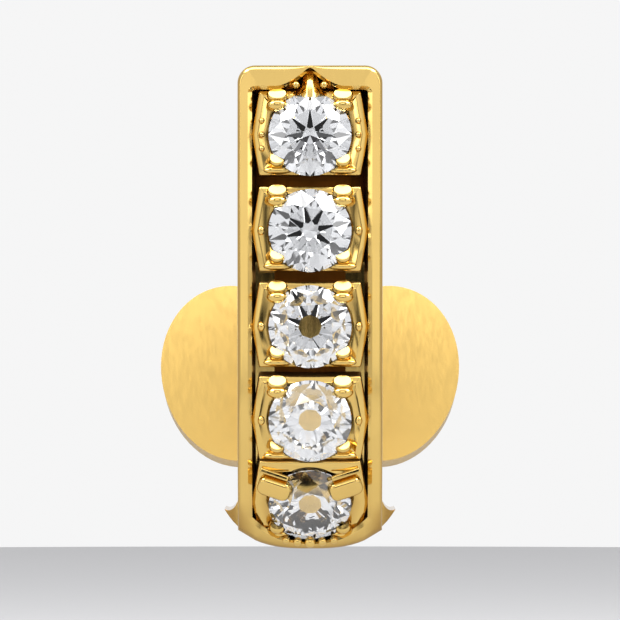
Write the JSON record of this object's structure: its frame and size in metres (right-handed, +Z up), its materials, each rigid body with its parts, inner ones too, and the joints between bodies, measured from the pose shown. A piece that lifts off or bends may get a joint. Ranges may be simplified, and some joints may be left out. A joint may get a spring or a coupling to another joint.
{
  "type": "grillz tooth cover",
  "caption": "Slim gold cover for the gap between two upper front teeth: an upright bar set with a column of round white stones, and a web under the teeth to two wings behind them.",
  "frame": {"origin": "middle of the gap between the two teeth, half way up the bar and half way through the teeth", "axes": "+X to the viewer's right, +Y from the front of the teeth to their backs, +Z up"},
  "size_m": [0.006, 0.0058, 0.0094],
  "materials": {
    "gold": "polished",
    "stone": "polished"
  },
  "bodies": {
    "root": {"gold_setting": "gold", "stone_1": "stone", "stone_2": "stone", "stone_3": "stone", "stone_4": "stone", "stone_5": "stone"}
  },
  "joints": []
}
